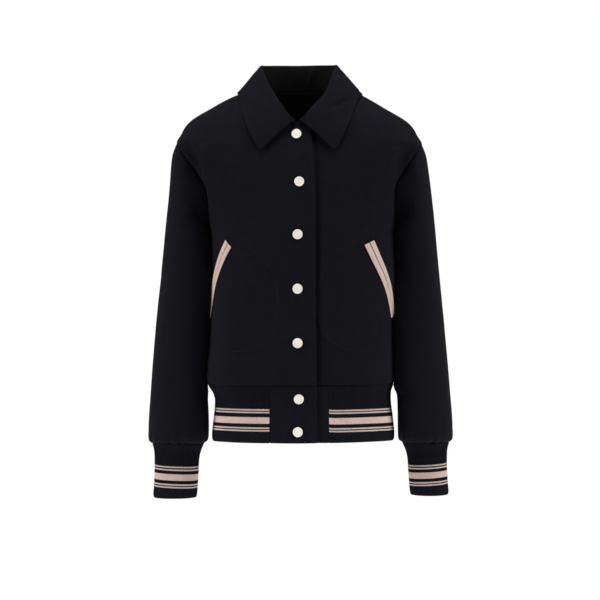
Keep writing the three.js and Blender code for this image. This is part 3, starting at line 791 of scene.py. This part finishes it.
# rib cuffs; stripes by height above the lower edge
cuff = {
    "rows": 32, "ribs": 82, "samples": 5, "square": 2.1, "ribDepth": 0.5, "bow": 1.6,
    "seamDepth": 0.6, "seamWidth": 1.6,
    "ease": {"right": 0.0, "left": 0.04},
}
cuffRings = table(
    "z outer inner middle depth",
    (-656, 237, 172.5, -17, 34.5), (-652, 238, 171.5, -17, 35.5), (-640, 237, 170.5, -17, 35),
    (-618, 235.8, 169, -17, 34.5), (-594, 235.6, 167.5, -17, 35), (-580, 236.5, 164, -17, 37),
    (-569, 239.5, 159, -17, 41),
)
cuffStripes = [
    (18.2, 20.4, "thin"), (22.4, 24.6, "thin"), (30.2, 40.4, "wide"),
    (45.9, 48.1, "thin"), (50.4, 52.6, "thin"),
]
cuffKnit = knitFinish("cuffRib", cuffStripes)


def ribRelief(columns, samples, depth):
    # rounded ridges, a whole number of columns apart
    return depth * np.cos(2 * np.pi * np.arange(columns) / samples)


def addCuff(side):
    columns = cuff["ribs"] * cuff["samples"]
    angle = np.linspace(-180, 180, columns + 1)[:-1]
    z = np.linspace(cuffRings["z"][0], cuffRings["z"][-1], cuff["rows"])[:, None]
    names = ("outer", "inner", "middle", "depth")
    outer, inner, middle, depth = (along(cuffRings, "z", name, z) for name in names)
    x, y = ovalPoint((outer - inner) / 2, depth, depth, cuff["square"], angle)
    grid = np.stack([(outer + inner) / 2 + x, middle + y, np.broadcast_to(z, x.shape)], axis=-1)
    relief = ribRelief(columns, cuff["samples"], cuff["ribDepth"]) - cuff["ribDepth"]
    relief = relief * smooth(z, -656, -653) + seamDip(grid, "top", cuff["seamDepth"], cuff["seamWidth"])
    plain = gridNormals(grid, True)
    grid = grid + plain * relief[..., None]
    height = z - z[0] + cuff["bow"] * (1 - np.cos(np.radians(angle)))
    uv = np.stack(np.broadcast_arrays(np.arange(columns) / cuff["samples"], height * metre), axis=-1)
    grid[..., 2] -= cuff["ease"][side] * (grid[..., 2] - cuffRings["z"][-1])
    if side == "right":
        grid, plain, uv = mirrored(grid), mirrored(plain), uv[:, ::-1]
    grid = swayed(grid)
    last = uv[:, :1] + np.array([cuff["ribs"], 0]) * (1 if side == "left" else -1)
    uv = np.concatenate([uv, last], axis=1)
    wall = cloth["ribWall"] - cuff["ribDepth"]
    piece = addWall(f"cuff.{side}", grid, wall, [cuffKnit, cuffKnit], True, uv, plain)
    dress(piece, [f"cuff_{side}"])
    print("cuff", side, "area", round(areaOf(grid, True), 4))
    return piece


cuffRight, cuffLeft = addCuff("right"), addCuff("left")
print("sleeves made")

# hem band: a plain tab at each front edge and the striped rib round the back between them
hem = {
    "rightTabEnd": 45.4, "leftTabEnd": 47.6, "sideDrop": 2.2, "stripeShift": 1.6,
    "rows": 29, "ribWidth": 2.7, "samples": 4, "ribDepth": 0.5, "seamDepth": 0.7, "seamWidth": 1.6,
    "tabRows": 60, "tabColumns": 56, "tabSeamDepth": 0.8, "tabSeamWidth": 1.8,
}
hemRings = table(
    "z half front back square",
    (-563, 145.8, 120, 110, 2.6), (-560, 147, 121, 111, 2.6), (-550, 147.2, 121, 111, 2.6),
    (-525, 144.5, 119.5, 109.5, 2.6), (-500, 142, 117.5, 107.5, 2.6), (-488, 144, 117.4, 108, 2.6),
    (-480, 148, 118.6, 110, 2.6), (-474.6, 150.4, 119.8, 111.8, 2.6),
)
hemStripes = [
    (18.1, 20.3, "thin"), (22.2, 24.4, "thin"), (30.2, 40.2, "wide"),
    (46.5, 48.7, "thin"), (50.5, 52.7, "thin"),
]
hemKnit = knitFinish("hemRib", hemStripes)


def hemPoint(z, angle):
    return ringPoint(hemRings, z, angle)


def addTab(side, tabEnd, innerX, step):
    onRight = side == "right"
    z = np.linspace(hemRings["z"][0], hemRings["z"][-1], hem["tabRows"])
    grid = frontGrid(
        hemRings, hemPoint, z, -innerX(z), angleAtX(hemRings, z, np.full_like(z, tabEnd)),
        hem["tabColumns"], step, cloth["tabLapFade"],
    )
    if onRight:
        grid = mirrored(grid)
    relief = 0.35 * np.sin(grid[..., 0] / 13 + grid[..., 2] / 19) + 0.3 * drape(grid[..., 0], grid[..., 2])
    edges = "top first" if onRight else "top last"
    relief += seamDip(grid, edges, hem["tabSeamDepth"], hem["tabSeamWidth"])
    grid = grid + gridNormals(grid) * relief[..., None]
    piece = addWall(f"hemTab.{side}", grid, cloth["ribWall"], [navyWool, insideWool])
    dress(piece, [f"hem_tab_{side}"])
    print("hem tab", side, "area", round(areaOf(grid), 4))
    return piece


tabRight = addTab("right", hem["rightTabEnd"], lapX, cloth["tabLapStep"])
tabLeft = addTab("left", hem["leftTabEnd"], underX, -cloth["tabLapStep"])


def hemHalf(tabEnd, columns, z):
    # columns an equal distance apart round the band
    start = -angleAtX(hemRings, z, tabEnd + 2.5 * cloth["seamGap"])
    fine = np.linspace(0, 1, 800)
    middle = len(z) // 2
    walked = arcs(hemPoint(z[middle], start[middle] + (90 - start[middle]) * fine)[None], 1)[0]
    t = np.interp(np.linspace(0, walked[-1], columns), walked, fine)
    return hemPoint(z[:, None], start[:, None] + (90 - start)[:, None] * t), walked[-1]


def addHemRib():
    z = np.linspace(hemRings["z"][0], hemRings["z"][-1], hem["rows"])
    halves = []
    for tabEnd in (hem["leftTabEnd"], hem["rightTabEnd"]):
        length = hemHalf(tabEnd, 10, z)[1]
        halves.append(hemHalf(tabEnd, hem["samples"] * round(length / hem["ribWidth"]) + 1, z)[0])
    grid = roundTheBack(*halves)
    columns = grid.shape[1]
    relief = ribRelief(columns, hem["samples"], hem["ribDepth"]) - hem["ribDepth"]
    relief = relief * smooth(z, *hemRings["z"][:2])[:, None]
    relief = relief + seamDip(grid, "top", hem["seamDepth"], hem["seamWidth"])
    plain = gridNormals(grid)
    grid = grid + plain * relief[..., None]
    grid[..., 2] -= hem["sideDrop"] * (1 - smooth(-grid[..., 1], 10, 100)) * smooth(-grid[..., 2], 480, 530)
    grid = swayed(grid)
    height = (z - z[0])[:, None] + hem["stripeShift"] * smooth(grid[..., 0], 30, 60)
    uv = np.stack(np.broadcast_arrays(np.arange(columns) / hem["samples"], height * metre), axis=-1)
    piece = addWall("hemRib", grid, cloth["ribWall"] - hem["ribDepth"], [hemKnit, hemKnit], False, uv, plain)
    dress(piece, ["hem_rib"])
    print("hem rib area", round(areaOf(grid), 4), "columns", columns)
    return piece


hemRib = addHemRib()
print("hem band made")

# collar: one wall that stands up from the neck seam, rolls over and falls to its edge
collar = {
    "firstAngle": 3, "columns": 134, "rows": 72, "rollRadius": 4.4, "bow": 2.5,
    "edgeDip": 0.5, "edgeIn": 6.5, "edgeWidth": 1.6,
    # on the wearer's left: the opening is rounder, and the leaf lies wider and lower
    "opening": 6, "leafWider": 4, "leafLower": 4.5, "leafReach": 34,
    # shares of the rows: the lighter stand, and its two lines of stitches; their columns either side of the nape
    "standShare": 0.34, "stitchShares": (0.335, 0.30), "stitchReach": 58,
}
collarRolls = table(
    "angle rollX rollY rollZ edgeX edgeY edgeZ",
    (3, 5, -107, -56, 57.5, -115.5, -103.5), (14, 14, -103.5, -46, 66.5, -110.5, -91),
    (30, 30, -89, -22, 77, -102, -70), (50, 46, -62, 6, 87.5, -80, -43), (70, 55, -30, 28, 96, -38, -10),
    (90, 58, 0, 38.5, 99.5, 2, -4), (112, 53, 25, 42.5, 94, 40, -7), (140, 38.5, 47, 45.5, 68, 71, -12),
    (180, 0, 58, 46.5, 0, 89, -15),
)
# creases seen from the front, on the leaves
collarCreases = table(
    "u0 v0 u1 v1 width depth",
    (22, -47, 90, -20, 4.5, -1.8), (30, -38, 84, -12, 6, 1.3), (-30, -62, -70, -20, 8, 0.6),
    (44, -84, 60, -50, 8, -0.6),
)
standFolds = [(17, 0.35, 4.5, 1.1), (8, 0.3, 4, -0.8)]  # place across, lean, width and height


def neckPoint(angle):
    # the neck seam, 0 at the centre front and 180 at the nape
    front = np.minimum(angle, 90)
    x = body["neckHalf"] * np.sin(np.radians(front))
    z = body["neckTopZ"] - neckHeight * np.clip(np.cos(np.radians(front)), 0, 1) ** (2 / body["neckCurve"])
    atFront = bodyPoint(z, -angleAtX(bodyRings, z, x))
    atBack = bodyPoint(np.full_like(angle, body["neckTopZ"]), np.maximum(angle, 90) - 90)
    return np.where((angle >= 90)[:, None], atBack, atFront)


def collarSections(angle):
    # nine points of each section, from the neck seam over the roll to the edge of the fall
    gap, radius = cloth["seamGap"], collar["rollRadius"]
    names = ("rollX", "rollY", "rollZ", "edgeX", "edgeY", "edgeZ")
    at = [along(collarRolls, "angle", name, angle) for name in names]
    roll, edge = np.stack(at[:3], axis=-1), np.stack(at[3:], axis=-1)
    seam = neckPoint(angle)
    up = unit(roll - seam)
    base = seam + up * gap * 2.5
    base[:, 1] -= np.where(angle < 90, lapShift(seam[:, 0], cloth["lapStep"] + gap, cloth["bodyLapFade"]), 0)
    fall = edge - roll
    out = unit(fall - up * (fall * up).sum(axis=-1, keepdims=True))
    shoulder = np.minimum(radius, 0.45 * np.linalg.norm(roll - base, axis=-1))[:, None]

    def bowed(t):
        return roll + fall * t + out * radius * 0.9 * (1 - t) + up * collar["bow"] * np.sin(np.pi * t)
    return np.stack([
        base, base + (roll - base) * 0.45, roll - up * shoulder - out * shoulder * 0.15,
        roll + out * radius * 0.2 - up * 0.4, roll + out * radius * 0.95 - up * 0.6,
        bowed(0.2), bowed(0.5), bowed(0.78), edge,
    ])


def addCollar():
    angle = np.linspace(collar["firstAngle"], 180, collar["columns"])
    control = collarSections(angle)[:, ::-1]
    half = evenly(control, collar["rows"])
    grid = np.concatenate([mirrored(half)[:, :-1], half], axis=1)
    normals = gridNormals(grid)
    up = arcs(grid, 0)
    onFall = smooth(up[-1] - up, 0, 12) * smooth(up / up[-1], 0.45, 0.6)
    relief = creaseRelief(grid[..., 0], grid[..., 2], collarCreases) * onFall * smooth(-grid[..., 1], 10, 50)
    relief += 0.4 * np.sin(grid[..., 0] / 11 + grid[..., 2] / 19) * onFall
    # the edge is turned under and pressed: a shallow hollow runs inside it
    across = arcs(grid, 1)
    edgeAway = np.minimum(up[-1] - up, np.minimum(across, across[:, -1:] - across))
    hollow = bell(edgeAway - collar["edgeIn"], collar["edgeWidth"])
    relief -= collar["edgeDip"] * hollow * smooth(up / up[-1], 0.5, 0.62)
    # the back of the stand buckles a little under the roll
    stand = smooth(up, 4, 14) * (1 - smooth(up / up[-1], 0.3, 0.42))
    behind = smooth(grid[..., 1], 10, 40)
    for place, lean, width, height in standFolds:
        relief += height * bell(grid[..., 0] - place - lean * (grid[..., 2] - 20), width) * stand * behind
    relief += 0.5 * np.sin(grid[..., 0] / 9) * stand * behind
    grid = grid + normals * relief[..., None]
    # x is a view of the grid, so the leaf's share is read after the opening has moved
    x, height = grid[..., 0], grid[..., 2]
    rounder = smooth(x, 14, 36) * (1 - smooth(x, 62, 92)) * bell(height + 12, 26)
    grid[..., 0] += collar["opening"] * rounder * smooth(-grid[..., 1], 20, 50)
    lower = smooth(x, 58, 96) * smooth(up / up[-1], 0.55, 1) * bell(grid[..., 1] + 18, collar["leafReach"])
    grid[..., 0] += collar["leafWider"] * lower
    grid[..., 2] -= collar["leafLower"] * lower
    piece = addWall("collarCloth", grid, cloth["collarWall"], [navyWool, insideWool])
    rows, columns = grid.shape[:2]
    indices = np.zeros(len(piece.data.polygons), np.int32)
    piece.data.polygons.foreach_get("material_index", indices)
    indices[: round(collar["standShare"] * rows) * (columns - 1)] = 2
    aroundRim = 2 * (rows + columns - 2)
    for ring in range(4):
        start = 2 * (rows - 1) * (columns - 1) + ring * aroundRim
        indices[start : start + columns - 1] = 2
    piece.data.polygons.foreach_set("material_index", indices)
    piece.data.materials.append(standWool)
    dress(piece, ["collar"])
    print("collar area", round(areaOf(grid), 4))
    return piece, grid, normals


collarPiece, collarGrid, collarNormals = addCollar()
print("collar made")

# pocket welts: two rib lips on each front, either side of the mouth
welt = {
    "lipWidth": 8.4, "lipHeight": 1.7, "lift": 0.7, "mouth": 1.5, "edgeShare": 0.5,
    "rows": 181, "samples": 4, "columns": 17, "ribDepth": 0.28,
}
pocketMouth = {
    "right": table("z around", (-364, 15.5), (-320, 24), (-283, 35.5), (-251, 45.7)),
    "left": table("z around", (-364, 21.5), (-320, 32), (-283, 40.5), (-251, 46.5)),
}
weltKnit = knitFinish("weltRib", (), True)


def mouthPoint(line, z, sideways, off):
    # a point a distance sideways of the pocket mouth's line over the cloth, and a distance off the cloth
    def angleAt(height):
        return -along(line, "z", "around", height)
    angle = angleAt(z)
    here = bodyPoint(z, angle)
    further, higher = bodyPoint(z, angle + 1) - here, bodyPoint(z + 1, angle) - here
    normal = unit(np.cross(further, higher))
    below, above = np.maximum(z - 1, line["z"][0]), np.minimum(z + 1, line["z"][-1])
    side = unit(np.cross(bodyPoint(above, angleAt(above)) - bodyPoint(below, angleAt(below)), normal))
    step = sideways * (side * unit(further)).sum(axis=-1)
    moved = bodyPoint(z + sideways * side[..., 2], angle + step / np.linalg.norm(further, axis=-1))
    return moved + normal * np.asarray(off)[..., None]


def addLip(side, name, towards):
    line = pocketMouth[side]
    z = np.linspace(line["z"][0], line["z"][-1], welt["rows"])[:, None]
    near, far = welt["mouth"] / 2 * towards, (welt["mouth"] / 2 + welt["lipWidth"]) * towards
    t = np.linspace(0, 1, welt["columns"])
    start, end = (near, far) if towards > 0 else (far, near)
    crown = 1 - (2 * t - 1) ** 4
    ribs = welt["ribDepth"] * (np.cos(2 * np.pi * np.arange(welt["rows"]) / welt["samples"]) - 1)[:, None]
    height = welt["lift"] + welt["lipHeight"] * (welt["edgeShare"] + (1 - welt["edgeShare"]) * crown)
    z, sideways = np.broadcast_arrays(z, start + (end - start) * t)
    grid = mouthPoint(line, z, sideways, height + ribs * np.sqrt(crown))
    row = np.arange(welt["rows"])[:, None] / welt["samples"]
    uv = np.stack(np.broadcast_arrays(row, sideways * metre), axis=-1)
    if side == "right":
        grid, uv = mirrored(grid), uv[:, ::-1]
    grid = swayed(grid)
    wall = welt["lipHeight"] * welt["edgeShare"]
    piece = addWall(f"welt.{side}.{name}", grid, wall, [weltKnit, weltKnit], False, uv)
    dress(piece, [f"pocket_{side}_{name}_lip"])
    print("welt", side, name, "area", round(areaOf(grid), 5))
    return piece


lips = {
    (side, name): addLip(side, name, towards)
    for side in ("right", "left") for name, towards in (("front", -1), ("side", 1))
}
print("welts made")

# snap caps: a rolled rim round a shallow dish, turned about its middle
snap = {
    "places": [
        (-1.2, -80), (3.2, -155.6), (0.5, -238), (0, -322.6), (-0.4, -407), (0.7, -494.8), (-1.1, -546),
    ],
    "turns": 56, "gapShare": 0.6,
}
# radius and height of the cap's outline, from its foot round the rim to its face; both ends stop 0.02 mm
# short of the middle, so a pinhole is left there
snapOutline = table(
    "radius height",
    (0.02, 0), (6.9, 0), (7.35, 0.25), (7.62, 0.75), (7.7, 1.3), (7.62, 1.85), (7.35, 2.3),
    (6.9, 2.58), (6.4, 2.62),
    (5.95, 2.48), (5.6, 2.28), (5.2, 2.2), (4.4, 2.3), (3.2, 2.52), (1.9, 2.7), (0.8, 2.78), (0.02, 2.8),
)


def addSnap(number, x, z):
    # the outline carried round a circle that lies on the cloth
    onTab = z < body["hemZ"]
    rings, step = (hemRings, cloth["tabLapStep"]) if onTab else (bodyRings, cloth["lapStep"])
    angle = -angleAtX(rings, np.array(z), np.array(-float(x)))
    foot = ringPoint(rings, z, angle)
    above = ringPoint(rings, z + 4, angle) - ringPoint(rings, z - 4, angle)
    beside = ringPoint(rings, z, angle + 2) - ringPoint(rings, z, angle - 2)
    outward = unit(np.cross(beside, above))
    foot = (foot + [0, -step, 0] + outward * cloth["seamGap"] * snap["gapShare"]) * [-1, 1, 1]
    outward = outward * [-1, 1, 1]
    acrossFace = unit(np.cross([0, 0, 1.0], outward))
    upFace = np.cross(outward, acrossFace)
    turn = np.linspace(0, 2 * np.pi, snap["turns"] + 1)[:-1]
    circle = np.cos(turn)[:, None] * acrossFace + np.sin(turn)[:, None] * upFace
    rise = (snapOutline["height"][:, None] * outward)[:, None, :]
    grid = foot + snapOutline["radius"][:, None, None] * circle + rise
    rows, columns = grid.shape[:2]
    corners, faces = gridCells(rows, columns, True)
    uv = np.stack([np.stack([b / columns, a / rows], axis=-1) for a, b in corners], axis=-2).reshape(-1, 4, 2)
    piece = makeMesh(f"snap.{number}", grid.reshape(-1, 3), faces, uv)
    piece.data.materials.append(snapEnamel)
    return dress(piece, [f"snap_{number}"])


snapCaps = [addSnap(number + 1, x, z) for number, (x, z) in enumerate(snap["places"])]
print("snaps made")

# stitches: short threads that dip into the cloth at both ends
stitch = {"length": 2.5, "pitch": 3.4, "radius": 0.26, "sink": 0.32, "rings": 5, "sides": 6}


def addStitches(name, paths):
    # each path gives points and outward directions; a stitch is a small tube along it, its ends sunk
    centres, alongs, outs = [], [], []
    for points, outward in paths:
        walked = walkedAlong(points)
        at = np.arange(stitch["pitch"] / 2, walked[-1], stitch["pitch"])
        ahead = [np.interp(at + stitch["length"] / 2, walked, points[:, k]) for k in range(3)]
        behind = [np.interp(at - stitch["length"] / 2, walked, points[:, k]) for k in range(3)]
        ahead, behind = np.stack(ahead, axis=-1), np.stack(behind, axis=-1)
        centres.append((ahead + behind) / 2)
        alongs.append((ahead - behind) / 2)
        outs.append(unit(np.stack([np.interp(at, walked, outward[:, k]) for k in range(3)], axis=-1)))
    centre, half, out = (np.concatenate(part)[:, None, None] for part in (centres, alongs, outs))
    side = unit(np.cross(half, out))
    t = np.linspace(-1, 1, stitch["rings"])[:, None, None]
    turn = np.linspace(0, 2 * np.pi, stitch["sides"] + 1)[:-1][:, None]
    girth = stitch["radius"] * np.sqrt(1.06 - t**2)
    lift = stitch["radius"] * 0.35 - stitch["sink"] * t**2
    points = centre + half * t + out * (lift + girth * np.sin(turn)) + side * girth * np.cos(turn)
    count, rings, sides = points.shape[:3]
    number = np.arange(count * rings * sides).reshape(count, rings, sides)
    j = (np.arange(sides) + 1) % sides
    tube = np.stack([number[:, :-1], number[:, 1:], number[:, 1:][..., j], number[:, :-1][..., j]], axis=-1)
    first, last = number[:, 0], number[:, -1]
    ends = [first[:, [0, 1, 2, 3]], first[:, [0, 3, 4, 5]], last[:, [3, 2, 1, 0]], last[:, [5, 4, 3, 0]]]
    faces = np.concatenate([tube.reshape(-1, 4), *ends])
    flat = points.reshape(-1, 3)
    piece = makeMesh(name, flat, faces, flat[faces][..., [0, 2]] * metre)
    # the thread's lighter colour carries a painted highlight along the stitched line
    piece.data.materials.append(threadWithHighlight)
    return dress(piece, [])


def bagStitches(side):
    path = bagPaths[side]
    step = cloth["lapStep"] if side == "right" else -cloth["lapStep"]
    points, outward = frontSurface(path[:, 0], path[:, 1], step)
    return swayed(points), outward


bagThreads = {
    side: addStitches(f"pocketBagStitches.{side}", [bagStitches(side)]) for side in ("right", "left")
}


def standRow(share):
    # a line of the stand at a share of the collar's rows, round the back of the neck
    row = round(share * (collarGrid.shape[0] - 1))
    kept = slice(collar["columns"] - 1 - collar["stitchReach"], collar["columns"] + collar["stitchReach"])
    return collarGrid[row, kept], collarNormals[row, kept]


collarThreads = addStitches("collarStitches", [standRow(share) for share in collar["stitchShares"]])
print("stitches made")

print("all pieces made")

# camera, light and floor
studio = {
    "distance": 3.2, "height": -0.34, "azimuth": 1.6, "roll": -0.3, "lens": 118.5, "floorZ": -1.1,
    "sidePower": 102, "sidePlace": (2.6, -1.2, 0.25), "sideSize": (1.3, 2.2),
    "sun": 5.0, "sunRise": 81, "sunSpread": 34, "dim": 0.04, "floorGlow": 0.42, "floorHalf": 1.3,
}
turn = np.radians(studio["azimuth"])
cameraData = bpy.data.cameras.new("camera")
cameraData.lens, cameraData.sensor_width = studio["lens"], 36
camera = bpy.data.objects.new("camera", cameraData)
camera.location = (studio["distance"] * np.sin(turn), -studio["distance"] * np.cos(turn), studio["height"])
level = Euler((np.pi / 2, 0, turn)).to_matrix() @ Matrix.Rotation(np.radians(studio["roll"]), 3, "Z")
camera.rotation_euler = level.to_euler()
bpy.context.scene.collection.objects.link(camera)
bpy.context.scene.camera = camera


def addLamp(name, kind, place, aim, **settings):
    data = bpy.data.lights.new(name, kind)
    for key, value in settings.items():
        setattr(data, key, value)
    lamp = bpy.data.objects.new(name, data)
    lamp.location = place
    lamp.rotation_euler = (Vector(aim) - Vector(place)).to_track_quat("-Z", "Y").to_euler()
    bpy.context.scene.collection.objects.link(lamp)


sideX, sideY, sideZ = studio["sidePlace"]
width, height = studio["sideSize"]
for name, x in (("softboxLeft", -sideX), ("softboxRight", sideX)):
    addLamp(name, "AREA", (x, sideY, sideZ), (0, 0, -0.3), shape="RECTANGLE", size=width, size_y=height,
            energy=studio["sidePower"])
rise = np.radians(studio["sunRise"])
addLamp("overhead", "SUN", (0, -2 * np.cos(rise), 2 * np.sin(rise)), (0, 0, 0), energy=studio["sun"],
        angle=np.radians(studio["sunSpread"]))

# a white surround to the eye that lights the cloth only dimly
world = bpy.data.worlds.new("surround")
world.use_nodes = True
surround = world.node_tree
seen = addNode(surround, "ShaderNodeLightPath").outputs["Is Camera Ray"]
strength = calc(surround, "MULTIPLY_ADD", seen, 1 - studio["dim"], studio["dim"])
background = surround.nodes["Background"]
background.inputs["Color"].default_value = (1, 1, 1, 1)
surround.links.new(strength, background.inputs["Strength"])
bpy.context.scene.world = world
bpy.context.scene.view_settings.view_transform = "Standard"

far, deep = studio["floorHalf"] * 1000, studio["floorZ"] * 1000
floor = makeMesh(
    "floor", np.array([[-far, -far, deep], [far, -far, deep], [far, far, deep], [-far, far, deep]]),
    np.array([[0, 1, 2, 3]]), np.array([[[0, 0], [1, 0], [1, 1], [0, 1.0]]]), False,
)
floorFinish, _, floorShader = startFinish("paleFloor", 0.9)
floorShader.inputs["Base Color"].default_value = (0.9, 0.9, 0.9, 1)
floorShader.inputs["Emission Color"].default_value = (1, 1, 1, 1)
floorShader.inputs["Emission Strength"].default_value = studio["floorGlow"]
floor.data.materials.append(floorFinish)
print("studio made")
